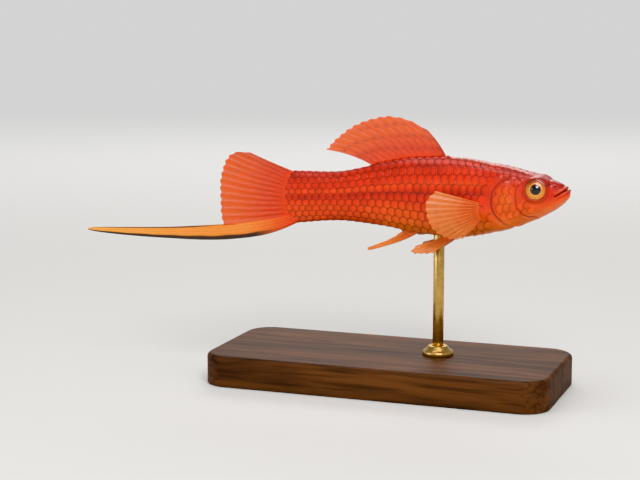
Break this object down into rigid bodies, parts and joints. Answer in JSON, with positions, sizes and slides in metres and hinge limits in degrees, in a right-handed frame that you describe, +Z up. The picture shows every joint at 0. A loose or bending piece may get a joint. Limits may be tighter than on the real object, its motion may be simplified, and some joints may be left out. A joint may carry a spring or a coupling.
{
  "type": "male red swordtail fish model on a display stand",
  "caption": "Life-size still model of a male red swordtail, swimming with its fins spread, held over a plain wooden base by a brass rod.",
  "frame": {"origin": "centre of the stand base's flat underside", "axes": "+X towards the fish's head, +Y to the fish's left, +Z up"},
  "size_m": [0.1111, 0.034, 0.0598],
  "materials": {
    "skin": "moist scaled skin, orange-red, satin",
    "gill_cover": "thin bone plate under skin, satin with a faint golden sheen",
    "fin": "orange-red fin skin over fine rays, partly see-through",
    "sword": "orange fin skin with dark edges",
    "eye": "wet and glossy, gold ring round a black pupil",
    "stand_wood": "dark stained wood, satin varnish",
    "stand_brass": "plain polished brass"
  },
  "bodies": {
    "root": {"head": "skin", "lower_jaw": "skin", "trunk": "skin", "tail_stem": "skin", "gill_cover_left": "gill_cover", "gill_cover_right": "gill_cover", "eye_left": "eye", "eye_right": "eye", "dorsal_fin": "fin", "caudal_fin": "fin", "anal_fin": "fin", "pectoral_fin_left": "fin", "pectoral_fin_right": "fin", "pelvic_fin_left": "fin", "pelvic_fin_right": "fin", "sword": "sword", "stand_base": "stand_wood", "stand_rod": "stand_brass", "stand_collar": "stand_brass"}
  },
  "joints": []
}
